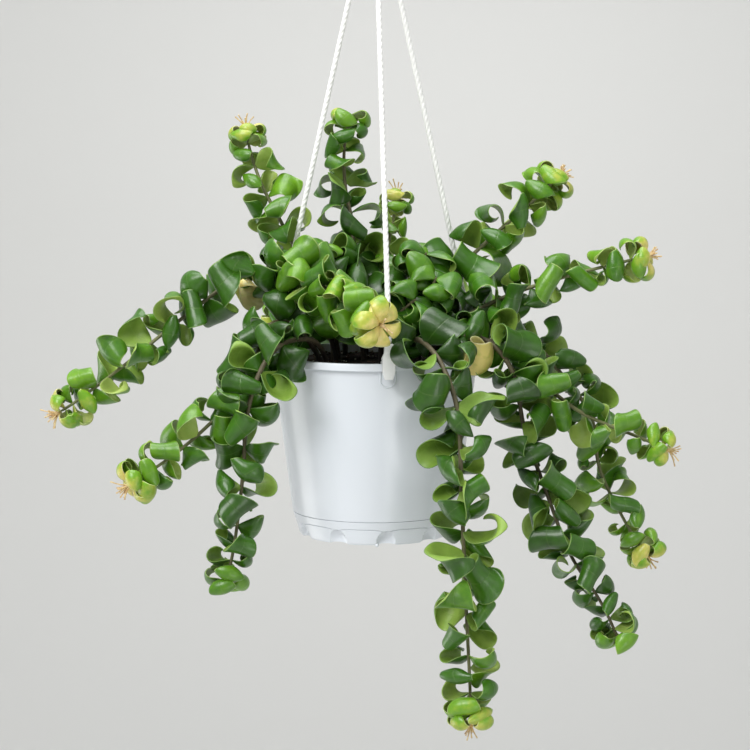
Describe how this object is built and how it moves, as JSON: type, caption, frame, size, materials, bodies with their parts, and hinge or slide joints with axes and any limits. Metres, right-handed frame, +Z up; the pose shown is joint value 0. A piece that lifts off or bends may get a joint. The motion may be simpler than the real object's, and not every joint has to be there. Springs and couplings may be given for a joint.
{
  "type": "potted lipstick plant",
  "caption": "Trailing lipstick plant with curled glossy leaves, in a white hanging pot with a clip-on saucer, twisted strands, clips and a hook.",
  "frame": {"origin": "seat of the hanger's hook, at the inside top of its bend, where a ceiling hook or rail carries it", "axes": "+Z up along the hanger's axis, which is also the pot's; -Y is the front that the plant faces, +X is to the right seen from the front"},
  "size_m": [0.4268, 0.2739, 0.614],
  "materials": {
    "white_plastic": "satin",
    "white_cord": "satin",
    "potting_mix": "matte",
    "green_leaf": "satin"
  },
  "bodies": {
    "root": {"pot": "white_plastic", "saucer": "white_plastic", "hanger_hook": "white_plastic", "hanger_clip_1": "white_plastic", "hanger_clip_2": "white_plastic", "hanger_clip_3": "white_plastic", "hanger_strand_1": "white_cord", "hanger_strand_2": "white_cord", "hanger_strand_3": "white_cord", "potting_mix": "potting_mix", "branch_back_left_up": "green_leaf", "branch_back_up": "green_leaf", "branch_back_short": "green_leaf", "branch_right_up": "green_leaf", "branch_right_reach": "green_leaf", "branch_right_low": "green_leaf", "branch_right_fall": "green_leaf", "branch_right_hang": "green_leaf", "branch_front_hang": "green_leaf", "branch_left_long": "green_leaf", "branch_left_low": "green_leaf", "branch_left_hang": "green_leaf", "branch_front_tip": "green_leaf", "branch_crown_middle": "green_leaf", "branch_crown_front": "green_leaf", "branch_crown_left": "green_leaf", "branch_crown_right": "green_leaf", "branch_back_reach_right": "green_leaf", "branch_back_reach_left": "green_leaf", "branch_back_hang": "green_leaf", "branch_back_hang_right": "green_leaf", "branch_back_hang_left": "green_leaf"}
  },
  "joints": []
}
